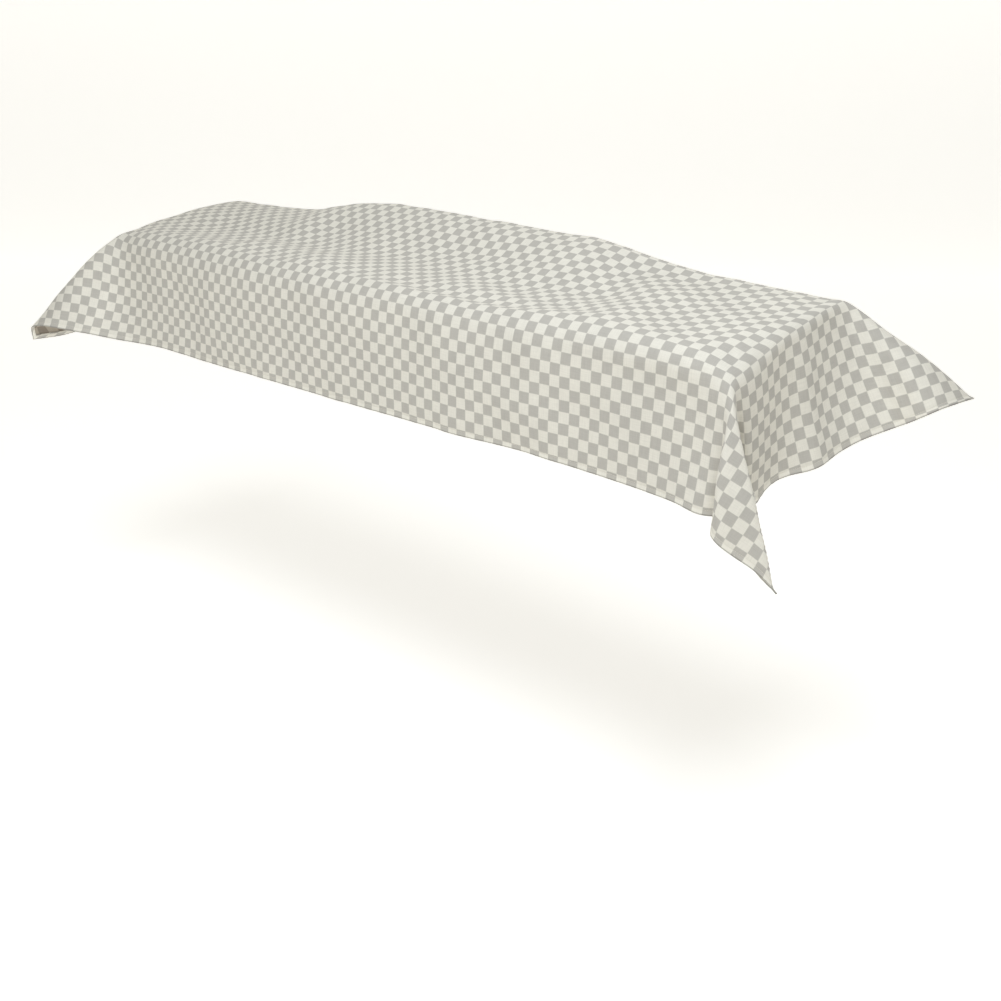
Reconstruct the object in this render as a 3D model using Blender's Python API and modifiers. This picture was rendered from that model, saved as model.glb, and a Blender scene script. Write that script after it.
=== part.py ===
"""A draped keyboard cover: one hemmed rectangle of checked cloth, in the shape in which it hangs.

The cloth lies loosely over a long low rectangle, folds over its four edges and hangs free, with a
flare at each corner.

Frame: +X to the right along the cover's length, +Y from the front edge to the back, +Z up.
The origin is on the cloth's underside at the middle of its top, where it is carried.

The cloth is worked out as a flat cutting that is then folded. Lengths in the tables are counted
in checks, the squares of its pattern, because the cloth itself is counted that way.
"""

import bmesh
import bpy
import numpy as np

# Driving dimensions, in metres
CHECK = 0.0165                # side of one square of the checked pattern
LEFT_END = -40.2 * CHECK      # the two end edges that the cloth folds over, from the middle
RIGHT_END = 40.7 * CHECK
TOP_DEPTH = 18.0 * CHECK      # between the front and the back edge that it folds over
TOP_CLOTH = 19.0 * CHECK      # cloth used from front to back, over the hollow and the hump
FRONT_HANG = 11.2 * CHECK     # cloth beyond each edge, measured flat
RIGHT_HANG = 11.7 * CHECK
BACK_HANG = 8.0 * CHECK
LEFT_HANG = 11.2 * CHECK
THICKNESS = 0.002             # of the solid cloth
FOLD_SOFTNESS = 0.6 * CHECK   # how far a fold or an edge is rounded over
FINE_STEP = 0.25 * CHECK      # spacing at which the folds are worked out

FLAT_LENGTH = LEFT_HANG - LEFT_END + RIGHT_END + RIGHT_HANG
FLAT_WIDTH = FRONT_HANG + TOP_CLOTH + BACK_HANG

# Faces of the cloth: each row is a stretch of the cutting, up to its place, and its faces. They
# are small at the folded ends and at the front edge, and long where the cloth lies smooth.
FACES_ALONG = (
    # up to  faces
    (-51.4, 0),
    (-34.0, 25),
    (34.0, 28),
    (52.4, 33),
)
FACES_ACROSS = (
    # up to  faces
    (-11.2, 0),
    (3.0, 15),
    (17.0, 10),
    (27.0, 8),
)

# The top, as cross sections from the left end to the right. Each row gives the section's place
# along the cover and its heights over the front edge, at these distances behind that edge:
# a full roll over the front edge, a hollow behind it, then the rise to the back edge.
SECTION_DEPTHS = (0.0, 1.0, 2.5, 5.0, 8.0, 12.0, 15.5, 18.0)
TOP_SECTIONS = (
    # place  height at each depth
    (-40.2, 0.6, 0.8, 0.9, 1.4, 1.9, 2.5, 2.8, 3.0),
    (-38.5, 0.1, 0.6, 1.0, 1.5, 2.0, 2.6, 2.9, 3.0),
    (-36.0, 0.0, 0.7, 1.2, 1.4, 1.9, 2.6, 3.0, 3.0),
    (-30.0, 0.1, 0.8, 1.3, 1.3, 1.4, 2.4, 2.9, 3.1),
    (-24.0, 0.0, 0.8, 1.3, 1.3, 1.4, 2.5, 3.1, 3.5),
    (-20.0, 0.0, 0.7, 1.3, 1.8, 1.4, 2.9, 4.0, 4.3),
    (-15.0, 0.0, 0.8, 1.1, 1.5, 1.4, 2.4, 4.3, 5.3),
    (-8.0, 0.0, 0.7, 1.4, 1.6, 1.6, 2.7, 4.3, 5.4),
    (3.0, 0.0, 0.7, 0.9, 1.2, 1.4, 2.2, 4.4, 5.1),
    (16.0, 0.0, 0.7, 0.7, 1.2, 1.2, 2.7, 4.2, 4.8),
    (22.0, 0.0, 0.8, 1.2, 1.1, 1.2, 2.1, 2.9, 4.0),
    (27.0, 0.0, 1.0, 1.5, 1.7, 1.9, 2.4, 2.6, 3.2),
    (34.0, 0.0, 1.1, 1.3, 1.5, 1.8, 2.1, 2.5, 2.9),
    (38.0, -0.1, 0.9, 1.2, 1.6, 1.9, 2.2, 2.6, 2.7),
    (39.7, -0.2, 0.4, 0.7, 1.2, 1.8, 2.2, 2.5, 2.6),
    (40.7, -0.2, -0.3, 0.0, 0.6, 1.3, 2.0, 2.5, 2.6),
)

# The four hanging sides, as fold lines from the edge down to the hem. Each row gives where its
# line leaves the edge and where it reaches the hem, both on the flat cutting and counted along
# that side, then how far the hem's point lies along the side, out from the edge and below it.
# The bow and the sway are how far the line stands out and along at half way, past a straight
# one. A line that starts at a corner fans out from it, and the last line of one side is the
# first of the next: the tips.
FRONT_FOLDS = (
    # leaves   hem  along   out  drop   bow  sway
    (-40.2, -51.4, -7.5, 7.3, 12.3, 0.9, -0.6),
    (-40.2, -49.2, -6.8, 7.7, 10.6, 0.2, 0.0),
    (-40.2, -46.5, -4.2, 7.2, 10.1, -0.1, 0.0),
    (-39.9, -44.0, -2.4, 6.1, 10.3, -0.5, 0.0),
    (-39.2, -41.7, -1.3, 4.9, 10.3, -0.8, 0.0),
    (-38.4, -39.8, -1.0, 3.5, 10.6, -0.9, 0.0),
    (-37.4, -38.2, -0.7, 2.5, 10.9, -0.8, 0.0),
    (-36.0, -36.3, -0.3, 1.6, 11.0, -0.6, 0.0),
    (-34.0, -34.0, -0.1, 0.9, 11.1, -0.5, 0.0),
    (-31.0, -31.0, -0.1, 0.7, 11.0, -0.4, 0.0),
    (-26.0, -26.0, -0.1, 0.4, 11.1, -0.3, 0.0),
    (-19.0, -19.0, -0.1, 0.4, 11.1, 0.1, 0.0),
    (-11.0, -11.0, -0.1, 0.4, 11.0, 0.0, 0.0),
    (-3.0, -3.0, -0.1, 0.2, 11.0, 0.1, 0.0),
    (5.0, 5.0, 0.0, 0.2, 10.9, 0.0, 0.0),
    (13.0, 13.0, 0.1, 0.3, 10.8, 0.2, 0.0),
    (21.0, 21.0, 0.1, -0.2, 10.7, 0.3, 0.0),
    (29.0, 29.0, 0.0, -0.3, 10.8, -0.1, 0.0),
    (34.0, 34.0, -0.1, -0.1, 10.9, 0.0, 0.0),
    (37.5, 37.5, -0.1, 0.6, 10.8, -0.2, 0.0),
    (39.0, 39.3, 0.1, 0.9, 10.8, -0.3, 0.0),
    (39.7, 40.4, 0.3, 0.2, 10.9, 0.3, 0.0),
    (40.1, 41.5, 0.7, -0.4, 11.0, 0.0, 0.0),
    (40.3, 42.9, 1.3, 0.6, 11.2, 0.1, 0.0),
    (40.7, 44.4, 0.1, 1.8, 11.3, 0.5, 0.0),
    (40.7, 46.0, 1.2, 2.7, 11.7, 0.5, 0.0),
    (40.7, 47.9, 2.4, 2.0, 12.6, 0.4, 0.0),
    (40.7, 49.9, 4.0, 1.3, 13.6, 0.4, 0.0),
    (40.7, 52.4, 5.6, 0.8, 15.0, 0.0, 0.0),
)
RIGHT_FOLDS = (
    # leaves   hem  along   out  drop   bow  sway
    (0.0, -11.2, -0.8, 5.6, 15.0, 0.0, 0.0),
    (0.0, -9.0, -0.5, 3.7, 14.2, -0.1, 0.0),
    (0.0, -6.0, 1.2, 1.9, 12.9, -0.1, 0.0),
    (0.0, -3.0, 3.5, 1.0, 11.2, -0.4, 0.0),
    (0.4, -0.6, 4.7, 0.1, 10.1, -0.7, 0.0),
    (1.0, 1.0, 3.5, -0.8, 11.4, 0.6, 0.0),
    (2.0, 2.2, 3.5, 0.2, 11.7, 0.1, 0.0),
    (3.1, 3.2, 3.3, 0.1, 11.4, 0.2, 0.0),
    (4.2, 4.2, 3.1, 0.1, 11.3, 0.2, 0.0),
    (5.4, 5.3, 2.9, 0.2, 11.2, 0.1, 0.0),
    (6.8, 6.6, 2.7, 0.9, 11.2, -0.3, 0.0),
    (8.2, 8.0, 2.5, 1.8, 11.3, -0.5, 0.0),
    (9.6, 9.6, 2.3, 2.6, 11.1, -0.1, 0.0),
    (10.8, 10.8, 2.3, 2.5, 11.2, -0.1, 0.0),
    (11.8, 11.9, 2.3, 2.6, 11.1, -0.3, 0.0),
    (13.2, 13.4, 2.3, 3.1, 11.0, -0.3, 0.0),
    (15.0, 15.2, 2.1, 4.0, 10.7, -0.4, 0.0),
    (16.6, 17.2, 2.2, 5.2, 10.1, -0.4, 0.0),
    (17.6, 18.7, 1.3, 6.4, 9.4, 0.0, 0.0),
    (18.0, 20.2, 0.8, 7.6, 8.5, 0.2, 0.0),
    (18.0, 22.0, 1.9, 8.7, 7.8, 0.3, 0.0),
    (18.0, 24.0, 3.7, 9.5, 7.5, 0.3, 0.0),
    (18.0, 26.0, 5.7, 9.8, 7.6, 0.5, 0.3),
)
BACK_FOLDS = (
    # leaves   hem  along   out  drop   bow  sway
    (-40.2, -51.4, -7.6, 4.6, 10.5, 0.0, 0.0),
    (-40.2, -47.5, -5.2, 4.6, 8.3, 0.0, 0.0),
    (-39.8, -44.0, -3.0, 2.6, 8.1, 0.0, 0.0),
    (-38.4, -40.6, -1.4, 1.0, 8.0, 0.0, 0.0),
    (-33.0, -33.2, -0.1, 0.5, 7.8, 0.0, 0.0),
    (-22.0, -22.0, 0.0, 0.9, 7.5, 0.0, 0.0),
    (-10.0, -10.0, 0.0, 0.4, 7.0, 0.0, 0.0),
    (3.0, 3.0, 0.0, 0.8, 7.0, 0.0, 0.0),
    (15.0, 15.0, 0.0, 0.4, 7.1, 0.0, 0.0),
    (26.0, 26.0, 0.0, 0.8, 7.6, 0.0, 0.0),
    (33.0, 33.0, 0.0, 1.3, 7.7, 0.0, 0.0),
    (36.5, 37.0, 0.2, 2.1, 7.7, 0.0, 0.0),
    (39.0, 40.6, 1.2, 3.4, 7.3, 0.0, 0.0),
    (40.5, 44.4, 3.4, 4.9, 6.6, 0.0, 0.0),
    (40.7, 48.2, 6.4, 5.9, 6.7, 0.0, 0.0),
    (40.7, 52.4, 9.8, 5.7, 7.6, 0.3, 0.5),
)
LEFT_FOLDS = (
    # leaves   hem  along   out  drop   bow  sway
    (0.0, -11.2, -7.3, 7.5, 12.3, 0.6, -0.9),
    (0.0, -8.0, -4.1, 6.4, 12.1, 0.5, -0.3),
    (0.4, -4.4, -1.1, 5.0, 11.3, 0.3, 0.0),
    (2.0, 0.6, -0.4, 3.3, 10.9, 0.1, 0.0),
    (5.0, 4.8, 0.0, 2.2, 11.0, 0.0, 0.0),
    (9.0, 9.0, 0.0, 1.2, 11.1, 0.0, 0.0),
    (13.0, 13.2, 0.1, 1.0, 11.2, 0.0, 0.0),
    (16.0, 17.0, 0.8, 1.6, 11.1, 0.0, 0.0),
    (17.6, 19.6, 1.8, 3.2, 10.9, 0.0, 0.0),
    (18.0, 22.6, 3.2, 5.4, 10.4, 0.0, 0.0),
    (18.0, 26.0, 4.6, 7.6, 10.5, 0.0, 0.0),
)


def top_height(along, depth):
    """Height of the top over the front edge, read straight between the neighbouring sections."""
    sections = np.array(TOP_SECTIONS) * CHECK
    depths = np.array(SECTION_DEPTHS) * CHECK
    places, heights = sections[:, 0], sections[:, 1:]
    i = np.clip(np.searchsorted(places, along, side="right") - 1, 0, len(places) - 2)
    j = np.clip(np.searchsorted(depths, depth, side="right") - 1, 0, len(depths) - 2)
    a = (along - places[i]) / (places[i + 1] - places[i])
    b = (depth - depths[j]) / (depths[j + 1] - depths[j])
    front = heights[i, j] * (1 - a) + heights[i + 1, j] * a
    back = heights[i, j + 1] * (1 - a) + heights[i + 1, j + 1] * a
    return front * (1 - b) + back * b


def read_folds(folds, place, reach):
    """Along, out and drop of places on a side, at a reach of 0 at the edge to 1 at the hem.

    Every fold line stands at its own place at that reach, and all lies straight between two.
    The leaving place comes first, because the edge's height is read there.
    """
    rows = np.array(folds) * CHECK
    lines = rows[:, 0] + (rows[:, 1] - rows[:, 0]) * reach[:, None]
    k = np.clip((place[:, None] >= lines).sum(axis=1) - 1, 0, len(rows) - 2)
    point = np.arange(len(place))
    first, second = lines[point, k], lines[point, k + 1]
    share = np.clip((place - first) / np.maximum(second - first, 1e-9), 0, 1)[:, None]
    leaves, _, along, out, drop, bow, sway = (rows[k] * (1 - share) + rows[k + 1] * share).T
    half_way = 4 * reach * (1 - reach)
    return leaves, along * reach + sway * half_way, out * reach + bow * half_way, drop * reach


def fold_cutting(u, v):
    """Sharp-edged folded place of the points (u, v) of the flat cutting.

    u runs along the cutting from its middle, v across it from the front edge's line. Points
    over the top take the sections' height. A point past an edge belongs to the side whose cloth
    it has used the most of, and hangs there between that side's fold lines.
    """
    depth = np.interp(v, (-FRONT_HANG, 0, TOP_CLOTH, TOP_CLOTH + BACK_HANG),
                      (-FRONT_HANG, 0, TOP_DEPTH, TOP_DEPTH + BACK_HANG))
    used = np.stack([-depth / FRONT_HANG, (u - RIGHT_END) / RIGHT_HANG,
                     (depth - TOP_DEPTH) / BACK_HANG, (LEFT_END - u) / LEFT_HANG])
    side, reach = used.argmax(axis=0), np.maximum(used.max(axis=0), 0)
    on_top = reach <= 0
    place = np.zeros((len(u), 3))
    place[on_top] = np.stack([u[on_top], depth[on_top], top_height(u[on_top], depth[on_top])], axis=-1)
    for number, (folds, edge, outward) in enumerate((
            (FRONT_FOLDS, 0.0, -1), (RIGHT_FOLDS, RIGHT_END, 1),
            (BACK_FOLDS, TOP_DEPTH, 1), (LEFT_FOLDS, LEFT_END, -1))):
        mine = (side == number) & ~on_top
        lengthwise = number % 2 == 0
        leaves, along, out, drop = read_folds(folds, u[mine] if lengthwise else depth[mine], reach[mine])
        away = edge + outward * out
        if lengthwise:
            height = top_height(leaves, np.full_like(leaves, edge)) - drop
            place[mine] = np.stack([leaves + along, away, height], axis=-1)
        else:
            height = top_height(np.full_like(leaves, edge), leaves) - drop
            place[mine] = np.stack([away, leaves + along, height], axis=-1)
    return place


def soften(grid, axis):
    """Round the folds: a bell-shaped average of each point with its neighbours along one axis.

    Past the hem the cloth is continued in a straight line, so that the hem stays in place.
    """
    width = FOLD_SOFTNESS / FINE_STEP
    reach = int(3 * width) + 1
    steps = np.arange(-reach, reach + 1)
    bell = np.exp(-0.5 * (steps / width) ** 2)
    bell /= bell.sum()
    line = np.moveaxis(grid, axis, 0)
    before = 2 * line[:1] - line[reach:0:-1]
    after = 2 * line[-1:] - line[-2:-reach - 2:-1]
    long_line = np.concatenate([before, line, after])
    rounded = sum(weight * long_line[i:i + len(line)] for i, weight in enumerate(bell))
    return np.moveaxis(rounded, 0, axis)


def drape():
    """The whole cutting, folded and softened, at an even fine spacing: its u, v and places."""
    columns = round(FLAT_LENGTH / FINE_STEP) + 1
    rows = round(FLAT_WIDTH / FINE_STEP) + 1
    u = np.linspace(LEFT_END - LEFT_HANG, RIGHT_END + RIGHT_HANG, columns)
    v = np.linspace(-FRONT_HANG, TOP_CLOTH + BACK_HANG, rows)
    u_all, v_all = np.meshgrid(u, v, indexing="ij")
    places = fold_cutting(u_all.ravel(), v_all.ravel()).reshape(columns, rows, 3)
    return u, v, soften(soften(places, 0), 1)


def read_drape(u, v, places, at_u, at_v):
    """The draped place of the cutting's points (at_u, at_v), read between the fine points."""
    x = np.clip((at_u - u[0]) / (u[1] - u[0]), 0, len(u) - 1.001)
    y = np.clip((at_v - v[0]) / (v[1] - v[0]), 0, len(v) - 1.001)
    i, j = x.astype(int), y.astype(int)
    a, b = (x - i)[:, None], (y - j)[:, None]
    near = places[i, j] * (1 - a) + places[i + 1, j] * a
    far = places[i, j + 1] * (1 - a) + places[i + 1, j + 1] * a
    return near * (1 - b) + far * b


def stations(faces):
    """Places of the cutting's grid lines, from a table of stretches and their faces."""
    places, counts = np.array(faces).T
    lines = np.cumsum(counts)
    return np.interp(np.arange(lines[-1] + 1), lines, places * CHECK)


def new_material(name, colour, roughness):
    material = bpy.data.materials.new(name)
    material.use_nodes = True
    shader = material.node_tree.nodes["Principled BSDF"]
    shader.inputs["Base Color"].default_value = (*colour, 1.0)
    shader.inputs["Roughness"].default_value = roughness
    shader.inputs["Metallic"].default_value = 0.0
    return material


def make_cover(collection):
    """Cut the flat cloth as a grid, fold it over the edges and give it its thickness."""
    u_lines, v_lines = stations(FACES_ALONG), stations(FACES_ACROSS)
    cutting = bmesh.new()
    bmesh.ops.create_grid(cutting, x_segments=len(u_lines) - 1, y_segments=len(v_lines) - 1, size=0.5)
    square = np.array([vertex.co for vertex in cutting.verts]) + 0.5
    u = u_lines[np.rint(square[:, 0] * (len(u_lines) - 1)).astype(int)]
    v = v_lines[np.rint(square[:, 1] * (len(v_lines) - 1)).astype(int)]
    draped = drape()
    places = read_drape(*draped, u, v)
    middle = read_drape(*draped, np.zeros(1), np.full(1, TOP_CLOTH / 2))[0]
    places -= (0.0, TOP_DEPTH / 2, middle[2] - THICKNESS / 2)
    for vertex, place in zip(cutting.verts, places):
        vertex.co = place
    mesh = bpy.data.meshes.new("piano_cover")
    cutting.to_mesh(mesh)
    cutting.free()
    mesh.shade_smooth()
    mesh.materials.append(new_material("cotton_canvas_checked", (0.66, 0.65, 0.60), 0.9))
    cover = bpy.data.objects.new("piano_cover", mesh)
    collection.objects.link(cover)
    thickness = cover.modifiers.new("cloth thickness", "SOLIDIFY")
    thickness.thickness = THICKNESS
    thickness.offset = 0.0
    return cover


for old in list(bpy.data.objects):
    bpy.data.objects.remove(old, do_unlink=True)
cover_collection = bpy.data.collections.new("piano_cover")
bpy.context.scene.collection.children.link(cover_collection)
make_cover(cover_collection)
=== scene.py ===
"""A piano cover of checked cotton canvas, as it hangs with its corners flaring out."""

import bpy
import numpy as np
from mathutils import Matrix, Vector


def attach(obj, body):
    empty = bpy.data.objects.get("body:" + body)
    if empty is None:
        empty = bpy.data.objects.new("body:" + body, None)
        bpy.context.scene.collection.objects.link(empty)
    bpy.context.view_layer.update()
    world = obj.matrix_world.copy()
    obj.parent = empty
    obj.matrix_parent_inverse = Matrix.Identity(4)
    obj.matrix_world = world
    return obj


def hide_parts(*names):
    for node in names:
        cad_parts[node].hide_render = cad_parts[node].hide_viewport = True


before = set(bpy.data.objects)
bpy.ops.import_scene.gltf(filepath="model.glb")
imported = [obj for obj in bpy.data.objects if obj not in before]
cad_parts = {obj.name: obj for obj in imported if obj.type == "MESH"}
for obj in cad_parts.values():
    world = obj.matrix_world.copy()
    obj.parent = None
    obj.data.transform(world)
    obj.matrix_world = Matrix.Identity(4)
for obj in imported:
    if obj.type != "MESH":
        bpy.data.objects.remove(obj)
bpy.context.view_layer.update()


# ---------------------------------------------------------------------------------------------
# Camera
# It stands in front of the cover's right end, a little above it, and looks down along its
# length, so that the front side runs away to the left and the right end shows its flare.

CAMERA_PLACE = (1.2521, -1.2654, 0.3274)
CAMERA_RIGHT = (0.76205, 0.64733, 0.01537)
CAMERA_DOWN = (0.26150, -0.28595, -0.92187)
CAMERA_LENS = 38.88

lens = bpy.data.cameras.new("camera")
lens.lens = CAMERA_LENS
lens.sensor_width = 36.0
lens.clip_end = 50.0
camera = bpy.data.objects.new("camera", lens)
bpy.context.scene.collection.objects.link(camera)
right, up = Vector(CAMERA_RIGHT).normalized(), -Vector(CAMERA_DOWN).normalized()
turn = Matrix((right, up, right.cross(up))).transposed()
camera.matrix_world = Matrix.Translation(CAMERA_PLACE) @ turn.to_4x4()
bpy.context.scene.camera = camera


# ---------------------------------------------------------------------------------------------
# The cover's cloth
# One rectangle of plain-woven cotton canvas, printed on its face in cream and warm grey checks.
# It lies loosely over a long low rectangle, folds over all four edges and hangs free.
# Its lengths are counted in checks, because the print counts them on the cloth itself.

CHECK = 0.0165                # metres, side of one printed square
LEFT_END, RIGHT_END = -40.2, 40.7    # checks from the middle, the end edges that it folds over
DEPTH = 18.0                  # from the front edge to the back edge that it folds over
FRONT_HANG, RIGHT_HANG, BACK_HANG, LEFT_HANG = 11.2, 11.7, 8.0, 11.2    # cloth beyond each edge
FLAT_LOW = np.array((LEFT_END - LEFT_HANG, -FRONT_HANG))
FLAT_HIGH = np.array((RIGHT_END + RIGHT_HANG, DEPTH + BACK_HANG))
CLOTH_THICKNESS = 0.0008      # metres
FACE_LEVEL = 0.002            # metres, height of its face over the origin, at the top's middle
FOLD_SOFTNESS = 0.38          # how far a fold is rounded over
CORNER_SOFTNESS = 0.95        # and around the right end's front corner, where it lies looser
CORNER = (40.6, -0.8)
CORNER_WIDTH = 2.4            # how far round that corner
FINE_STEP = 0.125             # spacing at which the folds are worked out
MILLIMETRE = 0.001

# Cross sections of the top from its left end to its right, as heights over the front edge
SECTION_DEPTHS = (0.0, 0.8, 1.6, 2.8, 5.0, 8.0, 12.0, 15.5, 18.0)
TOP_SECTIONS = (
    # place  height at each depth
    (-40.2, 0.60, 0.75, 0.85, 0.95, 1.40, 1.95, 2.50, 2.80, 2.95),
    (-38.5, 0.10, 0.55, 0.85, 1.10, 1.50, 2.00, 2.60, 2.90, 3.00),
    (-36.0, 0.02, 0.65, 1.01, 1.25, 1.45, 1.90, 2.60, 2.95, 3.05),
    (-30.0, 0.05, 0.70, 1.11, 1.40, 1.31, 1.40, 2.39, 2.93, 3.11),
    (-24.0, -0.01, 0.70, 1.11, 1.36, 1.26, 1.40, 2.45, 3.09, 3.48),
    (-20.0, 0.01, 0.61, 1.03, 1.36, 1.75, 1.40, 2.88, 3.96, 4.30),
    (-15.0, -0.01, 0.74, 1.06, 1.17, 1.53, 1.41, 2.38, 4.35, 5.31),
    (-8.0, 0.00, 0.55, 1.09, 1.46, 1.62, 1.57, 2.69, 4.31, 5.43),
    (3.0, -0.02, 0.64, 1.01, 0.89, 1.21, 1.40, 2.17, 4.38, 5.12),
    (16.0, 0.00, 0.63, 0.89, 0.65, 1.16, 1.17, 2.67, 4.17, 4.76),
    (22.0, 0.00, 0.72, 1.18, 1.24, 1.15, 1.25, 2.09, 2.87, 3.98),
    (27.0, 0.01, 0.88, 1.24, 1.54, 1.67, 1.92, 2.41, 2.57, 3.23),
    (34.0, 0.01, 1.06, 1.31, 1.36, 1.47, 1.77, 2.10, 2.49, 2.85),
    (38.0, -0.05, 0.91, 0.98, 1.26, 1.55, 1.89, 2.24, 2.61, 2.70),
    (39.7, -0.20, 0.41, 0.18, 0.87, 1.23, 1.80, 2.19, 2.53, 2.60),
    (40.7, -0.20, -0.40, -0.15, 0.10, 0.60, 1.33, 2.02, 2.55, 2.60),
)

# The front edge is rolled: how far it lies back over the front side, along the cover, and over
# how much cloth the roll fades out in front of the edge and behind it
FRONT_ROLL = (
    # place  back
    (-40.2, 0.90),
    (-36.0, 0.72),
    (-19.0, 0.65),
    (-3.0, 0.43),
    (13.0, 0.38),
    (21.0, 0.30),
    (29.0, 0.04),
    (34.0, -0.15),
    (37.5, -0.35),
    (39.5, -0.25),
    (40.7, 0.00),
)
ROLL_BELOW = 1.25
ROLL_BEHIND = 2.5

# The cloth is crumpled a little over the top's right end, where more of the print lies than fits
CRUMPLED_PRINT = 0.45
CRUMPLED_FROM = 35.0
CRUMPLED_OVER = 5.2

# The print leans a little there: it lies further left in front and further right at the back,
# in checks for each check of depth, from the place where it lies straight
PRINT_LEAN = 0.0282
STRAIGHT_AT = 3.9
LEANS_FROM, LEANS_FULLY, LEANS_TO = 8.0, 30.0, 37.0
LEAN_BELOW = 2.0              # how much cloth it fades out over, below the front edge

# The four hanging sides, as fold lines from the edge down to the hem. Each row gives where its
# line leaves the edge and where it reaches the hem, both counted along the side on the flat
# cloth, and the printed cloth's length from the edge to the hem there. Then come how far the
# hem lies along the side, out from the edge and below it, and how far the line bows out and
# sways along the side half way. The last line of a side is the next one's first.
FRONT_FOLDS = (
    # leaves   hem  cloth  along   out   drop    bow   sway
    (-40.2, -51.4, 11.20, -7.50, 7.31, 12.28, 0.90, -0.60),
    (-40.2, -49.2, 11.29, -6.75, 7.66, 10.61, 0.25, 0.00),
    (-40.2, -46.5, 11.16, -4.19, 7.21, 10.13, -0.05, 0.00),
    (-39.9, -44.0, 11.16, -2.41, 6.08, 10.26, -0.51, 0.00),
    (-39.2, -41.7, 11.04, -1.27, 4.92, 10.31, -0.77, 0.00),
    (-38.4, -39.8, 11.03, -0.99, 3.45, 10.62, -0.89, 0.00),
    (-37.4, -38.2, 11.09, -0.67, 2.47, 10.87, -0.84, 0.00),
    (-36.0, -36.3, 11.12, -0.30, 1.58, 11.01, -0.58, 0.00),
    (-34.0, -34.0, 11.11, -0.08, 0.93, 11.07, -0.47, 0.00),
    (-31.0, -31.0, 11.03, -0.10, 0.67, 11.01, -0.40, 0.00),
    (-26.0, -26.0, 11.09, -0.11, 0.42, 11.08, -0.33, 0.00),
    (-19.0, -19.0, 11.13, -0.12, 0.39, 11.12, 0.11, 0.00),
    (-11.0, -11.0, 10.98, -0.09, 0.42, 10.97, 0.00, 0.00),
    (-3.0, -3.0, 11.00, -0.09, 0.22, 11.00, 0.14, 0.00),
    (5.0, 5.0, 10.88, 0.00, 0.22, 10.88, 0.01, 0.00),
    (13.0, 13.0, 10.80, 0.06, 0.26, 10.80, 0.21, 0.00),
    (21.0, 21.0, 10.69, 0.06, -0.16, 10.69, 0.27, 0.00),
    (29.0, 29.0, 10.83, -0.04, -0.28, 10.83, -0.11, 0.00),
    (34.0, 34.0, 10.88, -0.10, -0.08, 10.88, -0.04, 0.00),
    (37.5, 37.5, 10.78, -0.14, 0.60, 10.76, -0.17, 0.00),
    (39.0, 39.3, 10.82, 0.12, 0.89, 10.79, -0.26, 0.00),
    (39.7, 40.4, 10.86, 0.32, 0.25, 10.87, 0.28, 0.00),
    (40.1, 41.5, 10.90, 0.69, -0.41, 10.96, 0.04, 0.00),
    (40.3, 42.9, 10.94, 1.34, 0.64, 11.15, 0.07, 0.00),
    (40.7, 44.4, 10.98, 0.13, 1.78, 11.28, 0.46, 0.00),
    (40.7, 46.0, 11.02, 1.19, 2.69, 11.70, 0.54, 0.00),
    (40.7, 47.9, 11.06, 2.40, 2.04, 12.64, 0.38, 0.00),
    (40.7, 49.9, 11.10, 3.95, 1.29, 13.63, 0.36, 0.00),
    (40.7, 52.4, 11.20, 5.58, 0.78, 15.02, 0.00, 0.00),
)
RIGHT_FOLDS = (
    # leaves   hem  cloth  along   out   drop    bow   sway
    (0.0, -11.2, 11.70, -0.78, 5.58, 15.02, 0.00, 0.00),
    (0.0, -9.0, 11.70, -0.46, 3.71, 14.16, -0.05, 0.00),
    (0.0, -6.0, 11.62, 1.23, 1.94, 12.88, -0.13, 0.00),
    (0.0, -3.0, 11.49, 3.52, 1.00, 11.24, -0.44, 0.00),
    (0.4, -0.6, 11.11, 4.66, 0.09, 10.14, -0.67, 0.00),
    (1.0, 1.0, 11.95, 3.47, -0.75, 11.41, 0.55, 0.00),
    (2.0, 2.2, 12.19, 3.48, 0.18, 11.68, 0.15, 0.00),
    (3.1, 3.2, 11.88, 3.28, 0.06, 11.42, 0.22, 0.00),
    (4.2, 4.2, 11.69, 3.11, 0.05, 11.27, 0.17, 0.00),
    (5.4, 5.3, 11.61, 2.94, 0.20, 11.23, 0.06, 0.00),
    (6.8, 6.6, 11.60, 2.71, 0.87, 11.25, -0.33, 0.00),
    (8.2, 8.0, 11.74, 2.46, 1.83, 11.34, -0.46, 0.00),
    (9.6, 9.6, 11.59, 2.27, 2.65, 11.05, -0.13, 0.00),
    (10.8, 10.8, 11.75, 2.27, 2.48, 11.25, -0.08, 0.00),
    (11.8, 11.9, 11.66, 2.32, 2.65, 11.12, -0.26, 0.00),
    (13.2, 13.4, 11.63, 2.33, 3.07, 10.98, -0.29, 0.00),
    (15.0, 15.2, 11.57, 2.13, 3.95, 10.67, -0.39, 0.00),
    (16.6, 17.2, 11.57, 2.23, 5.17, 10.13, -0.39, 0.00),
    (17.6, 18.7, 11.37, 1.31, 6.39, 9.38, 0.02, 0.00),
    (18.0, 20.2, 11.23, 0.82, 7.57, 8.54, 0.24, 0.00),
    (18.0, 22.0, 11.16, 1.86, 8.72, 7.81, 0.29, 0.00),
    (18.0, 24.0, 11.16, 3.71, 9.50, 7.52, 0.35, 0.00),
    (18.0, 26.0, 11.02, 5.70, 9.75, 7.62, 0.45, 0.30),
)
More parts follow.
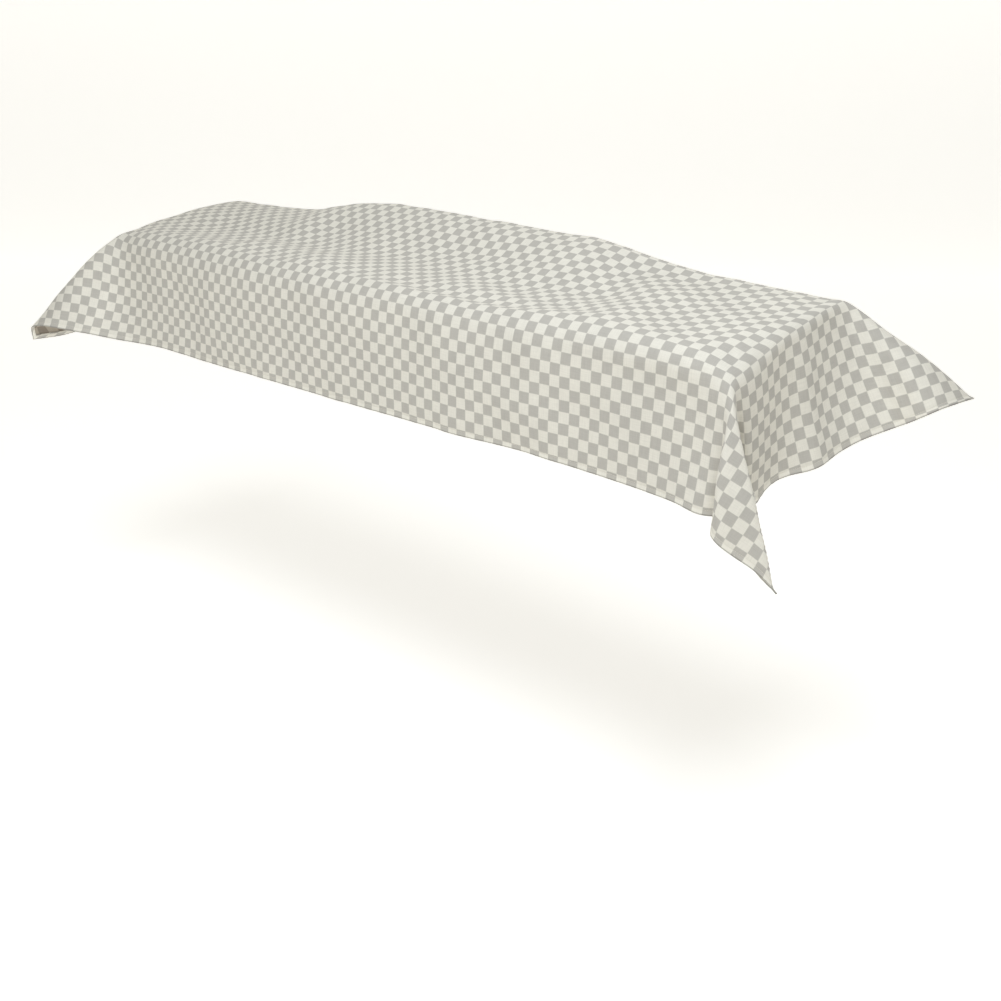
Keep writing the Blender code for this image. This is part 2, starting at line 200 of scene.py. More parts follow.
BACK_FOLDS = (
    # leaves   hem  cloth  along   out   drop    bow   sway
    (-40.2, -51.4, 8.00, -7.60, 4.60, 10.51, 0.00, 0.00),
    (-40.2, -47.5, 8.00, -5.20, 4.60, 8.31, 0.00, 0.00),
    (-39.8, -44.0, 7.93, -3.00, 2.60, 8.05, 0.00, 0.00),
    (-38.4, -40.6, 7.83, -1.40, 1.00, 7.95, 0.00, 0.00),
    (-33.0, -33.2, 7.79, -0.10, 0.50, 7.78, 0.00, 0.00),
    (-22.0, -22.0, 7.51, 0.00, 0.90, 7.45, 0.00, 0.00),
    (-10.0, -10.0, 7.02, 0.00, 0.40, 7.01, 0.00, 0.00),
    (3.0, 3.0, 7.09, 0.00, 0.80, 7.05, 0.00, 0.00),
    (15.0, 15.0, 7.10, 0.00, 0.40, 7.09, 0.00, 0.00),
    (26.0, 26.0, 7.62, 0.00, 0.80, 7.57, 0.00, 0.00),
    (33.0, 33.0, 7.78, 0.00, 1.30, 7.67, 0.00, 0.00),
    (36.5, 37.0, 7.99, 0.20, 2.10, 7.72, 0.00, 0.00),
    (39.0, 40.6, 8.00, 1.20, 3.40, 7.32, 0.00, 0.00),
    (40.5, 44.4, 8.00, 3.40, 4.90, 6.60, 0.00, 0.00),
    (40.7, 48.2, 8.00, 6.40, 5.90, 6.66, 0.00, 0.00),
    (40.7, 52.4, 8.00, 9.75, 5.70, 7.62, 0.30, 0.45),
)
LEFT_FOLDS = (
    # leaves   hem  cloth  along   out   drop    bow   sway
    (0.0, -11.2, 11.20, -7.31, 7.50, 12.28, 0.60, -0.90),
    (0.0, -8.0, 11.20, -4.10, 6.40, 12.10, 0.50, -0.30),
    (0.4, -4.4, 11.20, -1.10, 5.00, 11.30, 0.30, 0.00),
    (2.0, 0.6, 11.20, -0.40, 3.30, 10.87, 0.10, 0.00),
    (5.0, 4.8, 11.22, 0.00, 2.20, 11.00, 0.00, 0.00),
    (9.0, 9.0, 11.16, 0.00, 1.20, 11.10, 0.00, 0.00),
    (13.0, 13.2, 11.24, 0.10, 1.00, 11.20, 0.00, 0.00),
    (16.0, 17.0, 11.21, 0.80, 1.60, 11.11, 0.00, 0.00),
    (17.6, 19.6, 11.30, 1.80, 3.20, 10.87, 0.00, 0.00),
    (18.0, 22.6, 11.25, 3.20, 5.40, 10.41, 0.00, 0.00),
    (18.0, 26.0, 11.20, 4.60, 7.60, 10.51, 0.00, 0.00),
)


def between_rows(knots, values, at):
    """A smooth curve through a table's rows, read at each point.

    The curve between two rows is a cubic that meets both, with the harmonic mean of the slopes
    on either side of a row as its slope there, or none at a crest, so it never overshoots.
    knots holds each point's own row places, values each row's columns.
    """
    last = knots.shape[1] - 1
    k = np.clip((at[:, None] >= knots).sum(axis=1) - 1, 0, last - 1)
    near = np.clip(k[:, None] + np.arange(-1, 3), 0, last)
    step = np.maximum(np.diff(np.take_along_axis(knots, near, 1), axis=1), 1e-6)[..., None]
    slope = np.diff(values[near], axis=1) / step
    slope[k == 0, 0] = slope[k == 0, 1]
    slope[k == last - 1, 2] = slope[k == last - 1, 1]
    both = slope[:, :-1] * slope[:, 1:]
    mean = np.where(both > 0, 2 * both / np.where(both > 0, slope[:, :-1] + slope[:, 1:], 1), 0)
    point, width = np.arange(len(at)), step[:, 1]
    s = np.clip((at - knots[point, k])[:, None] / width, 0, 1)
    rise = values[near[:, 2]] - values[near[:, 1]]
    return (values[near[:, 1]] + rise * s * s * (3 - 2 * s)
            + width * s * (1 - s) * (mean[:, 0] * (1 - s) - mean[:, 1] * s))


def top_heights(along, depth):
    """Heights of the top over the front edge at every pair of the places along and depths."""
    sections = np.array(TOP_SECTIONS)
    depth_knots = np.tile(np.array(SECTION_DEPTHS), (len(depth), 1))
    by_section = between_rows(depth_knots, sections[:, 1:].T, depth)
    place_knots = np.tile(sections[:, 0], (len(along), 1))
    return between_rows(place_knots, by_section.T, along)


def hang(folds, place, reach, edge_height):
    """Where a hanging side's cloth lies, from its fold lines.

    reach is 0 at the edge and 1 at the hem. Every line stands at its own place at that reach,
    and the cloth runs smoothly from one to the next. Returns the place along the side, the
    distance out from the edge, the height, and the printed length from the edge.
    """
    rows = np.array(folds)
    knots = rows[:, 0] + (rows[:, 1] - rows[:, 0]) * reach[:, None]
    columns = np.column_stack([rows[:, [0, 2, 3, 4, 5, 6, 7]], edge_height(rows[:, 0])])
    leaves, cloth, along, out, drop, bow, sway, height = between_rows(knots, columns, place).T
    half_way = 4 * reach * (1 - reach)
    at = leaves + along * reach + sway * half_way
    return at, out * reach + bow * half_way, height - drop * reach, cloth * reach


def ramp(at, start, end):
    """Rises smoothly from 0 at start to 1 at end."""
    share = np.clip((at - start) / (end - start), 0, 1)
    return share * share * (3 - 2 * share)


def fold_cloth(along, across):
    """Folds the flat cloth over the four edges, sharply, and finds the print's place on it.

    along and across are the grid's lines, counted from the middle and from the front edge. A
    point past an edge belongs to the side whose cloth it has used the most of. Over the top
    the print follows the true length of each cross section, and a little more of it lies over
    the right end, where the cloth is crumpled. Returns the places and the print's coordinates,
    in checks.
    """
    over, back = np.clip(along, LEFT_END, RIGHT_END), np.clip(across, 0, DEPTH)
    heights = top_heights(over, back)
    roll_places, rolls = np.array(FRONT_ROLL).T
    roll = between_rows(np.tile(roll_places, (len(over), 1)), rolls[:, None], over)
    rolled = roll * np.exp(-back / ROLL_BEHIND)
    steps = np.hypot(np.diff(back + rolled, axis=1), np.diff(heights, axis=1))
    print_v = np.concatenate([np.zeros((len(along), 1)), steps.cumsum(axis=1)], axis=1)
    print_v += np.minimum(across, 0) + np.maximum(across - DEPTH, 0)
    u, v = np.meshgrid(along, across, indexing="ij")
    print_u = u + CRUMPLED_PRINT * np.clip((u - CRUMPLED_FROM) / CRUMPLED_OVER, 0, 1) ** 2
    share = ramp(u, LEANS_FROM, LEANS_FULLY) * (1 - ramp(u, LEANS_TO, RIGHT_END))
    fade = np.exp(np.minimum(v, 0) / LEAN_BELOW)
    print_u += PRINT_LEAN * (np.clip(v, 0, DEPTH) - STRAIGHT_AT) * share * fade
    places = np.stack([u, v, heights], axis=-1)
    beyond = np.stack([-v, u - RIGHT_END, v - DEPTH, LEFT_END - u])
    hangs = np.array((FRONT_HANG, RIGHT_HANG, BACK_HANG, LEFT_HANG))
    used = beyond / hangs[:, None, None]
    side, reach, far = used.argmax(axis=0), used.max(axis=0), beyond.max(axis=0)

    def height_at(places_along, depth):
        return top_heights(np.clip(places_along, LEFT_END, RIGHT_END), np.array([depth]))[:, 0]

    def height_across(place_along, depths):
        return top_heights(np.array([place_along]), np.clip(depths, 0, DEPTH))[0]

    for number, (folds, edge, outward, edge_height) in enumerate((
            (FRONT_FOLDS, 0.0, -1, lambda at: height_at(at, 0.0)),
            (RIGHT_FOLDS, RIGHT_END, 1, lambda at: height_across(RIGHT_END, at)),
            (BACK_FOLDS, DEPTH, 1, lambda at: height_at(at, DEPTH)),
            (LEFT_FOLDS, LEFT_END, -1, lambda at: height_across(LEFT_END, at)))):
        mine = (side == number) & (reach > 0)
        lengthwise = number % 2 == 0
        place = (u if lengthwise else v)[mine]
        at, out, height, printed = hang(folds, place, reach[mine], edge_height)
        away = edge + outward * out
        places[mine] = np.stack([at, away, height] if lengthwise else [away, at, height], axis=-1)
        more = outward * (printed - reach[mine] * hangs[number])
        if lengthwise:
            print_v[mine] += more
        else:
            print_u[mine] += more
    # Past the right end, the back side's print goes on from the right side's
    behind = (side == 2) & (u > RIGHT_END)
    print_u[behind] += (RIGHT_FOLDS[-1][2] - RIGHT_HANG) * used[1][behind]
    places[..., 1] += rolled * np.exp(-np.maximum(far, 0) / ROLL_BELOW)
    return places, print_u, print_v


def soften(grid, axis, softness):
    """Rounds the folds: a bell-shaped average of each point with its neighbours on one axis.

    Past the hem the cloth is continued in a straight line, so that the hem stays in place.
    """
    width = softness / FINE_STEP
    reach = int(3 * width) + 1
    bell = np.exp(-0.5 * (np.arange(-reach, reach + 1) / width) ** 2)
    bell /= bell.sum()
    line = np.moveaxis(grid, axis, 0)
    before = 2 * line[:1] - line[reach:0:-1]
    after = 2 * line[-1:] - line[-2:-reach - 2:-1]
    long_line = np.concatenate([before, line, after])
    rounded = sum(weight * long_line[i:i + len(line)] for i, weight in enumerate(bell))
    return np.moveaxis(rounded, 0, axis)


fine_along, fine_across = (np.linspace(low, high, round((high - low) / FINE_STEP) + 1)
                           for low, high in zip(FLAT_LOW, FLAT_HIGH))
folded, print_u, print_v = fold_cloth(fine_along, fine_across)
fine_print = np.stack([print_u, print_v], axis=-1)
draped = soften(soften(folded, 0, FOLD_SOFTNESS), 1, FOLD_SOFTNESS)
looser = soften(soften(folded, 0, CORNER_SOFTNESS), 1, CORNER_SOFTNESS)
from_corner = np.hypot(fine_along[:, None] - CORNER[0], fine_across - CORNER[1]) / CORNER_WIDTH
draped += (looser - draped) * np.exp(-0.5 * from_corner ** 2)[..., None]


def cell(lines, at):
    """The cell of a grid's lines that holds each place, and how far into it the place lies."""
    cells = np.clip((at - lines[0]) / (lines[1] - lines[0]), 0, len(lines) - 1.001)
    return cells.astype(int), (cells - cells.astype(int))[..., None]


def read_points(grid, flat):
    """Values of a fine grid at places on the flat cloth, in a straight line between its points."""
    i, p = cell(fine_along, flat[..., 0])
    j, q = cell(fine_across, flat[..., 1])
    near = grid[i, j] * (1 - p) + grid[i + 1, j] * p
    far = grid[i, j + 1] * (1 - p) + grid[i + 1, j + 1] * p
    return near * (1 - q) + far * q


# From checks to metres. The origin lies under the middle of the top, on the cloth's underside.
middle = read_points(draped, np.array((0.0, DEPTH / 2)))
draped = (draped - (0.0, DEPTH / 2, middle[2])) * CHECK + (0.0, 0.0, FACE_LEVEL)


def facing(grid):
    """Unit normals of a grid of places: the cross product of its steps along and across."""
    normals = np.cross(np.gradient(grid, axis=0), np.gradient(grid, axis=1))
    return normals / np.linalg.norm(normals, axis=-1, keepdims=True)


# The cloth doesn't lie quite smooth: low waves cross it, in checks from crest to crest
WAVES = (
    # along  across  height in mm  start
    (9.0, 31.0, 0.5, 0.0),
    (5.3, -23.0, 0.35, 1.3),
    (13.0, 7.7, 0.45, 4.1),
    (-3.7, 17.0, 0.2, 2.2),
    (23.0, 4.9, 0.3, 5.0),
)

# Creases, as straight soft ridges or troughs that die out at both ends
CREASES = (
    # from along, across, to along, across, half width in checks, height in mm
    (41.4, 18.15, 52.6, 18.75, 0.15, 1.5),
    (41.8, 18.55, 52.6, 19.15, 0.17, -1.3),
    (12.0, 7.2, 28.0, 3.8, 0.75, -1.1),
    (14.0, 8.6, 26.0, 5.6, 0.8, 0.8),
    (29.5, 12.4, 38.5, 9.6, 0.45, -0.5),
    (-38.4, -0.8, -29.0, -10.0, 1.0, -0.9),
    (-35.5, -0.5, -25.0, -9.5, 1.1, 0.8),
    (-12.0, -1.5, -8.0, -9.5, 0.9, -0.5),
    (17.0, -1.0, 20.5, -10.0, 1.0, 0.5),
    (-30.0, 6.5, -12.0, 10.2, 0.7, 0.9),
    (-26.0, 4.8, -6.0, 8.2, 0.6, -0.8),
)


def creases_at(flat):
    """Height of the creases, in metres: a bell across each one, and a half wave along it."""
    relief = np.zeros(flat.shape[:-1])
    for start_u, start_v, end_u, end_v, width, height in CREASES:
        start, run = np.array((start_u, start_v)), np.array((end_u - start_u, end_v - start_v))
        length = np.linalg.norm(run)
        away = flat - start
        share = np.clip(away @ run / length ** 2, 0, 1)
        aside = (away[..., 0] * run[1] - away[..., 1] * run[0]) / length
        relief += MILLIMETRE * height * np.exp(-(aside / width) ** 2) * np.sin(np.pi * share) ** 0.5
    return relief


def waves_at(flat):
    """Height of the low waves, in metres: plane sine waves of unlike lengths, added together."""
    rows = np.array(WAVES)
    phase = 2 * np.pi * (flat[..., :1] / rows[:, 0] + flat[..., 1:] / rows[:, 1]) + rows[:, 3]
    return (np.sin(phase) * rows[:, 2] * MILLIMETRE).sum(axis=-1)


# The hem is turned under twice and sewn down. The seam draws the cloth in, and puckers it.
SEAM_AT = 7.5 * MILLIMETRE / CHECK   # checks in from the edge
SEAM_WIDTH = 0.12
SEAM_DEPTH = 0.5 * MILLIMETRE
PUCKER = 0.35 * MILLIMETRE
PUCKER_AT, PUCKER_WIDTH = 0.35, 0.4
PUCKER_LENGTH = 0.83                 # from one pucker to the next, which drifts
DRIFT, DRIFT_LENGTH = 1.7, 1.9


def hem_relief(flat):
    """Height of the hem's relief, in metres: a groove along the seam and puckers across it.

    Both fade as a bell with the distance from the nearest edge, and the puckers are a sine wave
    along it, whose start drifts with a longer sine wave.
    """
    edges = np.minimum(flat - FLAT_LOW, FLAT_HIGH - flat)
    inside = edges.min(axis=-1)
    run = np.where(edges[..., 0] < edges[..., 1], flat[..., 1], flat[..., 0])
    groove = np.exp(-((inside - SEAM_AT) / SEAM_WIDTH) ** 2)
    pucker = np.sin(2 * np.pi * run / PUCKER_LENGTH + DRIFT * np.sin(run / DRIFT_LENGTH))
    puckered = np.exp(-((inside - PUCKER_AT) / PUCKER_WIDTH) ** 2)
    return PUCKER * pucker * puckered - SEAM_DEPTH * groove


fine_flat = np.stack(np.meshgrid(fine_along, fine_across, indexing="ij"), axis=-1)
draped = draped + facing(draped) * (waves_at(fine_flat) + creases_at(fine_flat))[..., None]
draped_normals = facing(draped)


# Grid lines over the hem, in checks in from the edge, and the faces between the two hems
HEM_LINES = (0.0, 0.1, 0.22, 0.33, 0.4, 0.455, 0.52, 0.6, 0.75)
FACES_ALONG, FACES_ACROSS = 330, 122


def hem_and_field(low, high, faces):
    """Grid lines from hem to hem: close together over both hems and even between them."""
    close = np.array(HEM_LINES)
    field = np.linspace(low + close[-1], high - close[-1], faces + 1)
    return np.concatenate([low + close[:-1], field, (high - close[:-1])[::-1]])


def sheet_mesh(name, places, prints, inside, closed=False):
    """A mesh of quads over a grid of places, with the print's coordinates as its UV map.

    Faces join neighbours in the grid. A closed grid also joins its last line to its first, in
    both directions. Each point keeps how far it lies inside the cloth's edge, in metres.
    """
    rows, columns = places.shape[:2]
    index = np.arange(rows * columns).reshape(rows, columns)
    if closed:
        index = np.pad(index, ((0, 1), (0, 1)), mode="wrap")
    quads = np.stack([index[:-1, :-1], index[1:, :-1], index[1:, 1:], index[:-1, 1:]], axis=-1)
    quads = quads.reshape(-1, 4)
    mesh = bpy.data.meshes.new(name)
    mesh.vertices.add(rows * columns)
    mesh.vertices.foreach_set("co", places.reshape(-1).astype(np.float32))
    mesh.loops.add(quads.size)
    mesh.loops.foreach_set("vertex_index", quads.reshape(-1).astype(np.int32))
    mesh.polygons.add(len(quads))
    mesh.polygons.foreach_set("loop_start", np.arange(0, quads.size, 4, dtype=np.int32))
    uv = mesh.uv_layers.new(name="print")
    corners = prints.reshape(-1, 2)[quads.reshape(-1)]
    uv.data.foreach_set("uv", corners.reshape(-1).astype(np.float32))
    stored = mesh.attributes.new("inside", "FLOAT", "POINT")
    stored.data.foreach_set("value", inside.reshape(-1).astype(np.float32))
    mesh.update(calc_edges=True)
    mesh.shade_smooth()
    piece = bpy.data.objects.new(name, mesh)
    bpy.context.scene.collection.objects.link(piece)
    return piece


mesh_along = hem_and_field(FLAT_LOW[0], FLAT_HIGH[0], FACES_ALONG)
mesh_across = hem_and_field(FLAT_LOW[1], FLAT_HIGH[1], FACES_ACROSS)
mesh_flat = np.stack(np.meshgrid(mesh_along, mesh_across, indexing="ij"), axis=-1)
cover_places = read_points(draped, mesh_flat)
cover_places += read_points(draped_normals, mesh_flat) * hem_relief(mesh_flat)[..., None]
mesh_inside = np.minimum(mesh_flat - FLAT_LOW, FLAT_HIGH - mesh_flat).min(axis=-1) * CHECK
mesh_print = read_points(fine_print, mesh_flat) * CHECK
cover = sheet_mesh("cover_cloth", cover_places, mesh_print, mesh_inside)


def linear(hex_colour):
    """Linear values of an sRGB hex colour."""
    values = np.array([int(hex_colour[i:i + 2], 16) for i in (1, 3, 5)]) / 255
    return (*np.where(values <= 0.04045, values / 12.92, ((values + 0.055) / 1.055) ** 2.4), 1.0)


def add_node(material, kind, inputs=(), **settings):
    """Adds a shader node, sets its settings, and sets or links its inputs by name or number."""
    node = material.node_tree.nodes.new("ShaderNode" + kind)
    for name, value in settings.items():
        setattr(node, name, value)
    for name, value in dict(inputs).items():
        if isinstance(value, bpy.types.NodeSocket):
            material.node_tree.links.new(value, node.inputs[name])
        else:
            node.inputs[name].default_value = value
    return node


def new_material(name, roughness):
    """A material with a plain shader, and its shader's node."""
    material = bpy.data.materials.new(name)
    material.use_nodes = True
    shader = material.node_tree.nodes["Principled BSDF"]
    shader.inputs["Roughness"].default_value = roughness
    return material, shader


# The print's check, its ink, and the cloth under it. Threads of 0.6 mm are too fine to show.
PRINT_START = (-35.1 * np.pi, 1.2 * np.pi)   # a square's corner, as angles of the check's sines
INK_EDGE = 0.11                      # of the check's sine, which is about 0.6 mm
INK_FUZZ = 1.111 * MILLIMETRE        # from one wander of the ink's edge to the next
INK_WANDER = 0.7 * MILLIMETRE
SLUB_WIDTH = 1.613 * MILLIMETRE      # a thread's thick stretches, drawn wide enough to show
SLUB_SHAPE = 0.08                    # width for each length, so they are 20 mm long
SLUB_TONE = (0.93, 1.05)
BUMP_HEIGHT = 0.4 * MILLIMETRE
PATCH_SIZE = 71.43 * MILLIMETRE      # from one low patch of lighter or darker tone to the next
PATCH_TONE = (0.975, 1.02)
# The hem's paler tone and its folded edge's painted shade, how far in from the edge each goes, and its
# fading out
PALE_HEM, PALE_UP_TO, PALE_FADE = 1.06, 6.8 * MILLIMETRE, 1.2 * MILLIMETRE
EDGE_SHADE, EDGE_SHADE_UP_TO, EDGE_SHADE_FADE = 0.62, 1.4 * MILLIMETRE, 0.7 * MILLIMETRE


def printed_canvas(name, cream, grey):
    """Plain-woven cotton canvas, printed in checks with matt ink.

    Both change softly, over the width that the ink runs into the threads. The cloth is matt,
    with a faint fibre sheen, slubs along both threads and low patches of tone. The hem is drawn
    paler, and painted shade darkens its folded edge, where the cloth turns under.
    """
    material, shader = new_material(name, roughness=0.92)
    uv = add_node(material, "UVMap", uv_map="print")
    fuzz = add_node(material, "TexNoise",
                    {"Vector": uv.outputs[0], "Scale": 1 / INK_FUZZ, "Detail": 2.0})
    shake = add_node(material, "VectorMath", {0: fuzz.outputs["Color"], 1: (0.5,) * 3},
                     operation="SUBTRACT")
    shaken = add_node(material, "VectorMath",
                      {0: shake.outputs[0], 1: (INK_WANDER, INK_WANDER, 0.0), 2: uv.outputs[0]},
                      operation="MULTIPLY_ADD")
    turns = add_node(material, "VectorMath",
                     {0: shaken.outputs[0], 1: (np.pi / CHECK,) * 3, 2: (*PRINT_START, 0.0)},
                     operation="MULTIPLY_ADD")
    wave = add_node(material, "VectorMath", {0: turns.outputs[0]}, operation="SINE")
    steep = add_node(material, "VectorMath", {0: wave.outputs[0], 3: 1 / INK_EDGE}, operation="SCALE")
    under = add_node(material, "VectorMath", {0: steep.outputs[0], 1: (1.0,) * 3}, operation="MINIMUM")
    signs = add_node(material, "VectorMath", {0: under.outputs[0], 1: (-1.0,) * 3}, operation="MAXIMUM")
    parts = add_node(material, "SeparateXYZ", {0: signs.outputs[0]})
    product = add_node(material, "Math", {0: parts.outputs[0], 1: parts.outputs[1]},
                       operation="MULTIPLY")
    check = add_node(material, "MapRange", {"Value": product.outputs[0], "From Min": -1.0})
    ink = add_node(material, "Mix", {0: check.outputs[0], 6: linear(grey), 7: linear(cream)},
                   data_type="RGBA")

    slubs = []
    for shape in ((1.0, SLUB_SHAPE, 1.0), (SLUB_SHAPE, 1.0, 1.0)):
        along = add_node(material, "Mapping", {"Vector": uv.outputs[0], "Scale": shape})
        slubs.append(add_node(material, "TexNoise", {"Vector": along.outputs[0], "Scale": 1 / SLUB_WIDTH,
                                                     "Detail": 3.0, "Roughness": 0.6}))
    weave = add_node(material, "Math", {0: slubs[0].outputs[0], 1: slubs[1].outputs[0]},
                     operation="ADD")
    patches = add_node(material, "TexNoise",
                       {"Vector": uv.outputs[0], "Scale": 1 / PATCH_SIZE, "Detail": 3.0})
    inside = add_node(material, "Attribute", attribute_name="inside").outputs["Fac"]
    tone = None
    for source, low, high, at_low, at_high in (
            (weave.outputs[0], 0.7, 1.3, *SLUB_TONE),
            (patches.outputs[0], 0.3, 0.7, *PATCH_TONE),
            (inside, PALE_UP_TO, PALE_UP_TO + PALE_FADE, PALE_HEM, 1.0),
            # painted shade: the hem's folded edge darkened, where the cloth turns under
            (inside, EDGE_SHADE_UP_TO, EDGE_SHADE_UP_TO + EDGE_SHADE_FADE, EDGE_SHADE, 1.0)):
        share = add_node(material, "MapRange", {"Value": source, "From Min": low, "From Max": high,
                                                "To Min": at_low, "To Max": at_high})
        if tone is not None:
            share = add_node(material, "Math", {0: tone.outputs[0], 1: share.outputs[0]},
                             operation="MULTIPLY")
        tone = share
    colour = add_node(material, "VectorMath", {0: ink.outputs[2], 3: tone.outputs[0]}, operation="SCALE")
    bump = add_node(material, "Bump",
                    {"Height": weave.outputs[0], "Strength": 0.35, "Distance": BUMP_HEIGHT})
    for name, source in (("Base Color", colour), ("Normal", bump)):
        material.node_tree.links.new(source.outputs[0], shader.inputs[name])
    shader.inputs["Sheen Weight"].default_value = 0.15
    shader.inputs["Sheen Roughness"].default_value = 0.5
    return material


canvas_face = printed_canvas("cotton_canvas_printed", "#E9E6DC", "#BFBCB5")
# The reverse shows the same check, darker and browner: partly its own greige, partly painted shade for
# the cloth's underside
canvas_reverse_shaded = printed_canvas("cotton_canvas_reverse_shaded", "#AFA698", "#8D8478")
cover.data.materials.append(canvas_face)
cover.data.materials.append(canvas_reverse_shaded)
layer = cover.modifiers.new("cloth thickness", "SOLIDIFY")
layer.thickness = CLOTH_THICKNESS
layer.offset = -1.0
layer.material_offset = 1

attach(cover, "root")
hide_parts("piano_cover")


# ---------------------------------------------------------------------------------------------
# Hem
# The cloth's own edge, turned under twice so that the print's face shows below it as well.
# It is a strip 9 mm wide and about 1.9 mm thick, with a round fold for its edge.

# The strip's outline: how far in from the edge and how high over the cloth's face, and how far
# in from the edge the print there was before the cloth was turned under, all in millimetres
HEM_OUTLINE = (
    # inside  height  printed
    (0.9, 0.03, 0.9),
    (0.2, -0.05, 0.2),
    (-0.35, -0.40, -0.4),
    (-0.5, -0.95, -1.0),
    (-0.3, -1.5, -1.6),
    (0.3, -1.85, -2.3),
    (2.5, -1.9, -4.5),
    (5.5, -1.9, -7.5),
    (8.6, -1.85, -10.6),
    (9.2, -1.5, -11.3),
    (9.0, -1.0, -11.8),
    (4.5, -0.9, -16.3),
)
HEM_STEP = 0.3                # checks along the hem from one outline to the next
LAST_STRETCH = 0.2            # checks of cloth before the edge, which give its direction there


def ring(inside, step):
    """Flat places along a rectangle that lies inside the cloth's edge by each of some distances.

    Every rectangle has the same number of points, so their corners line up as mitres.
    """
    half_size = (FLAT_HIGH - FLAT_LOW) / 2
    along, across = (2 * half_size / step).astype(int)
    run_along, run_across = np.arange(along) / along * 2 - 1, np.arange(across) / across * 2 - 1
    unit = np.concatenate([
        np.stack([run_along, np.full(along, -1.0)], axis=-1),
        np.stack([np.full(across, 1.0), run_across], axis=-1),
        np.stack([-run_along, np.full(along, 1.0)], axis=-1),
        np.stack([np.full(across, -1.0), -run_across], axis=-1)])
    return unit * (half_size - inside[:, None])[:, None] + (FLAT_LOW + FLAT_HIGH) / 2


def off_face(flat, height):
    """Places at a height over the cloth's face, in metres, hem relief and all."""
    lift = (hem_relief(flat) + height)[..., None]
    return read_points(draped, flat) + read_points(draped_normals, flat) * lift


def beyond_edge(flat):
    """The part of flat places that lies outside the cloth's own rectangle."""
    return flat - np.clip(flat, FLAT_LOW, FLAT_HIGH)


def hem_places(step):
    """The strip's places, its print and how far its points lie inside the edge.

    Each point of the outline is carried round the cloth, at its distance inside the edge and its
    height over the face. One that lies past the edge is set off from it by its distance, in the
    direction of the cloth's last stretch.
    """
    inside, height, printed = np.array(HEM_OUTLINE).T * MILLIMETRE
    edge = read_points(draped, ring(np.zeros(1), step))
    outward = edge - read_points(draped, ring(np.full(1, LAST_STRETCH), step))
    outward /= np.linalg.norm(outward, axis=-1, keepdims=True)
    places = off_face(ring(inside / CHECK, step), height[:, None])
    places += outward * np.maximum(-inside, 0)[:, None, None]
    source = ring(printed / CHECK, step)
    prints = read_points(fine_print, source) + beyond_edge(source)
    return places, prints * CHECK, np.broadcast_to(np.abs(inside)[:, None], places.shape[:2])


hem = sheet_mesh("cover_hem", *hem_places(HEM_STEP), closed=True)
hem.data.materials.append(canvas_face)
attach(hem, "root")


# ---------------------------------------------------------------------------------------------
# Seam
# One row of lockstitch holds the hem down, 7.5 mm from the edge, and shows on both sides.
# It is sewn in cream cotton thread with stitches of 3 mm.

STITCH_PITCH = 3.0 * MILLIMETRE
STITCH_LENGTH = 2.4 * MILLIMETRE
THREAD_WIDTH = 0.55 * MILLIMETRE
BLUNT_END = 0.2               # a stitch's width at its ends, as a share of its whole width
STITCH_LINES = (
    # height over the cloth's face, and the side it shows on
    (0.08 * MILLIMETRE, 1.0),
    (-1.96 * MILLIMETRE, -1.0),
)


def stitches():
    """Every stitch is a short rounded bead: rings of four points that swell from end to end.

    A ring's radius is the root of 1 - r^4, where r runs from -1 to 1 along the stitch.
    """
    flat = ring(np.full(1, SEAM_AT), STITCH_PITCH / CHECK)[0]
    run = np.linspace(-1, 1, 5)
    swell = np.sqrt(np.maximum(1 - run ** 4, BLUNT_END ** 2))
    angle = np.arange(4) * np.pi / 2 + np.pi / 4
    beads = []
    for height, side in STITCH_LINES:
        start = off_face(flat, height)
        end = np.roll(start, -1, axis=0)
        tangent = (end - start) / np.linalg.norm(end - start, axis=-1, keepdims=True)
        normal = read_points(draped_normals, flat) * side
        across = np.cross(tangent, normal)
        radial = across[:, None] * np.cos(angle)[:, None] + normal[:, None] * np.sin(angle)[:, None]
        beads.append(((start + end) / 2)[:, None, None]
                     + tangent[:, None, None] * (run * STITCH_LENGTH / 2)[:, None, None]
                     + radial[:, None] * (swell * THREAD_WIDTH / 2)[:, None, None])
    return np.concatenate(beads)


def bead_mesh(name, beads):
    """One mesh of many beads: quads between their rings, and a quad over each end."""
    count, rings, sides = beads.shape[:3]
    index = np.arange(count * rings * sides).reshape(count, rings, sides)
    turned = np.roll(index, -1, axis=2)
    walls = np.stack([index[:, :-1], index[:, 1:], turned[:, 1:], turned[:, :-1]], axis=-1)
    caps = np.concatenate([index[:, 0], index[:, -1, ::-1]])
    faces = np.concatenate([walls.reshape(-1, 4), caps])
    mesh = bpy.data.meshes.new(name)
    mesh.from_pydata(beads.reshape(-1, 3).tolist(), [], faces.tolist())
    mesh.shade_smooth()
    piece = bpy.data.objects.new(name, mesh)
    bpy.context.scene.collection.objects.link(piece)
    return piece


# Spun cotton thread is less matt than the cloth, so each stitch catches a little light
seam = bead_mesh("hem_seam", stitches())
thread, thread_shader = new_material("cotton_thread", roughness=0.7)
thread_shader.inputs["Base Color"].default_value = linear("#E6E2D6")
seam.data.materials.append(thread)
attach(seam, "root")


# ---------------------------------------------------------------------------------------------
# Studio
# A pale paper floor that curves up into a pale wall, under one large soft lamp over the front
# right and an even warm white sky.

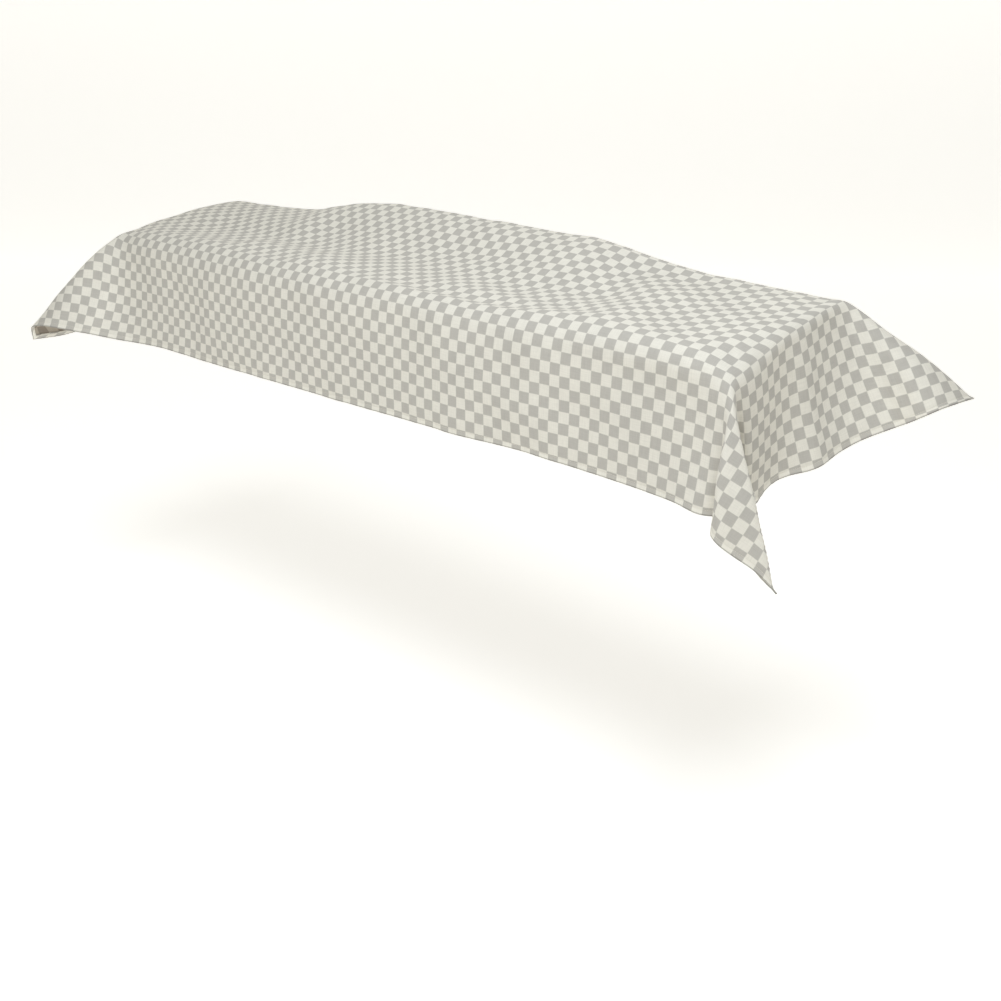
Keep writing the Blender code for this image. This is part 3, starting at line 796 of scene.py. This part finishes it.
FLOOR_LEVEL = -0.86
FLOOR_FROM, WALL_AT = -8.0, 4.5
WALL_BEND = 2.0
WALL_TOP = 9.0
HALF_WIDTH = 9.0
FORWARD, SIDEWAYS = (-0.64, 0.77), (0.77, 0.64)
LAMP_PLACE = (0.94, -1.07, 2.07)
LAMP_SIZE = 1.2
LAMP_WATTS = 48.5
SKY_STRENGTH = 0.27
PAPER_GLOW = 0.54             # lights the paper evenly, so that it stays near white


def backdrop():
    """The floor's profile, a flat run, a quarter turn and an upright, drawn out sideways."""
    turn_angle = np.linspace(0, np.pi / 2, 17)
    bend = (WALL_AT + WALL_BEND * np.sin(turn_angle), WALL_BEND * (1 - np.cos(turn_angle)))
    profile = np.concatenate([[(FLOOR_FROM, 0.0)], np.stack(bend, axis=-1),
                              [(WALL_AT + WALL_BEND, WALL_TOP)]])
    sides = np.linspace(HALF_WIDTH, -HALF_WIDTH, 3)
    ground = profile[:, None, :1] * np.array(FORWARD) + sides[None, :, None] * np.array(SIDEWAYS)
    height = np.broadcast_to(profile[:, None, 1:] + FLOOR_LEVEL, (len(profile), len(sides), 1))
    return np.concatenate([ground, height], axis=-1)


floor_places = backdrop()
floor_print = np.zeros((*floor_places.shape[:2], 2))
floor = sheet_mesh("floor", floor_places, floor_print, np.ones(floor_places.shape[:2]))
paper, paper_shader = new_material("backdrop_paper", roughness=0.95)
paper_shader.inputs["Base Color"].default_value = linear("#F4F4F2")
paper_shader.inputs["Emission Color"].default_value = linear("#FFFEFC")
paper_shader.inputs["Emission Strength"].default_value = PAPER_GLOW
floor.data.materials.append(paper)

lamp = bpy.data.lights.new("key", "AREA")
lamp.shape = "DISK"
lamp.size = LAMP_SIZE
lamp.energy = LAMP_WATTS
lamp.color = linear("#F4F9FF")[:3]
light = bpy.data.objects.new("key", lamp)
light.location = LAMP_PLACE
light.rotation_euler = (-Vector(LAMP_PLACE)).to_track_quat("-Z", "Y").to_euler()
bpy.context.scene.collection.objects.link(light)

sky = bpy.data.worlds.new("white_sky")
sky.use_nodes = True
sky.node_tree.nodes["Background"].inputs["Color"].default_value = linear("#FFF9E7")
sky.node_tree.nodes["Background"].inputs["Strength"].default_value = SKY_STRENGTH
bpy.context.scene.world = sky
bpy.context.scene.view_settings.view_transform = "Standard"
